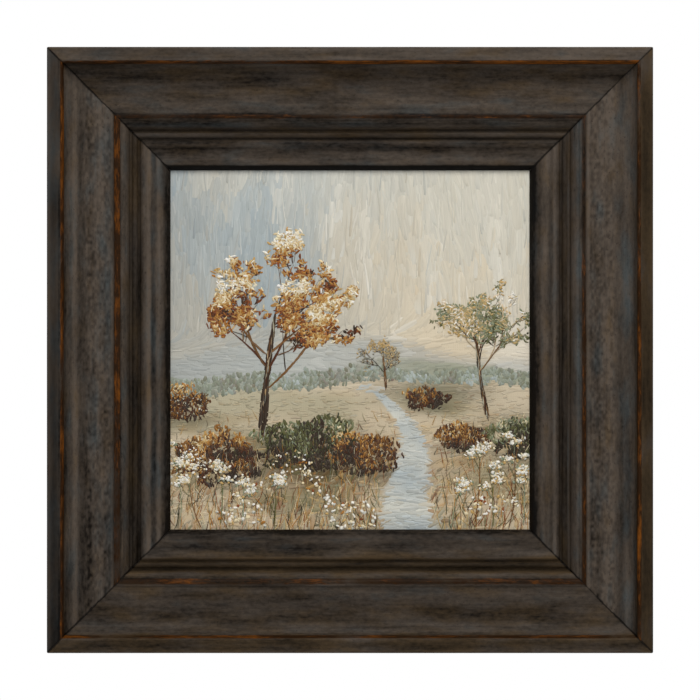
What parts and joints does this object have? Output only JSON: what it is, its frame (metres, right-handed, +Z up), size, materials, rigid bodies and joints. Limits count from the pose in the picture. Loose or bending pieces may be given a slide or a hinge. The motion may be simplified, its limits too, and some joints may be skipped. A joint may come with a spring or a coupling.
{
  "type": "framed canvas picture",
  "caption": "Square picture on stretched canvas in a wide, stepped, dark distressed wood scoop frame, with clips, a sawtooth hanger and wall bumpers behind.",
  "frame": {"origin": "the middle notch of the sawtooth hanger, on the plane of the wall that the picture hangs on", "axes": "+Z up, +Y into the wall, so that the picture faces -Y, and +X to the right of someone who looks at it"},
  "size_m": [0.5002, 0.0538, 0.5002],
  "materials": {
    "distressed_wood": "dark brown stain and wax over a rust brown undercoat, rubbed through on the raised edges, matte",
    "painted_canvas": "cotton canvas, primed and painted in oils with visible brush strokes, satin",
    "raw_pine": "planed, unfinished",
    "zinc_steel": "bright zinc plated",
    "brassed_steel": "brass plated, slightly dull",
    "felt_bumper": "dense grey brown felt"
  },
  "bodies": {
    "root": {"canvas": "painted_canvas", "clip_bottom": "zinc_steel", "clip_left": "zinc_steel", "clip_right": "zinc_steel", "clip_screw_bottom": "zinc_steel", "clip_screw_left": "zinc_steel", "clip_screw_right": "zinc_steel", "clip_screw_top": "zinc_steel", "clip_top": "zinc_steel", "corner_key_bottom_left_a": "raw_pine", "corner_key_bottom_left_b": "raw_pine", "corner_key_bottom_right_a": "raw_pine", "corner_key_bottom_right_b": "raw_pine", "corner_key_top_left_a": "raw_pine", "corner_key_top_left_b": "raw_pine", "corner_key_top_right_a": "raw_pine", "corner_key_top_right_b": "raw_pine", "hanger_nail_left": "brassed_steel", "hanger_nail_right": "brassed_steel", "rail_bottom": "distressed_wood", "rail_left": "distressed_wood", "rail_right": "distressed_wood", "rail_top": "distressed_wood", "sawtooth_hanger": "brassed_steel", "staple_bottom_1": "zinc_steel", "staple_bottom_2": "zinc_steel", "staple_bottom_3": "zinc_steel", "staple_bottom_4": "zinc_steel", "staple_left_1": "zinc_steel", "staple_left_2": "zinc_steel", "staple_left_3": "zinc_steel", "staple_left_4": "zinc_steel", "staple_right_1": "zinc_steel", "staple_right_2": "zinc_steel", "staple_right_3": "zinc_steel", "staple_right_4": "zinc_steel", "staple_top_1": "zinc_steel", "staple_top_2": "zinc_steel", "staple_top_3": "zinc_steel", "staple_top_4": "zinc_steel", "stretcher_bar_bottom": "raw_pine", "stretcher_bar_left": "raw_pine", "stretcher_bar_right": "raw_pine", "stretcher_bar_top": "raw_pine", "v_nail_bottom_left_inner": "zinc_steel", "v_nail_bottom_left_outer": "zinc_steel", "v_nail_bottom_right_inner": "zinc_steel", "v_nail_bottom_right_outer": "zinc_steel", "v_nail_top_left_inner": "zinc_steel", "v_nail_top_left_outer": "zinc_steel", "v_nail_top_right_inner": "zinc_steel", "v_nail_top_right_outer": "zinc_steel", "wall_bumper_left": "felt_bumper", "wall_bumper_right": "felt_bumper"}
  },
  "joints": []
}
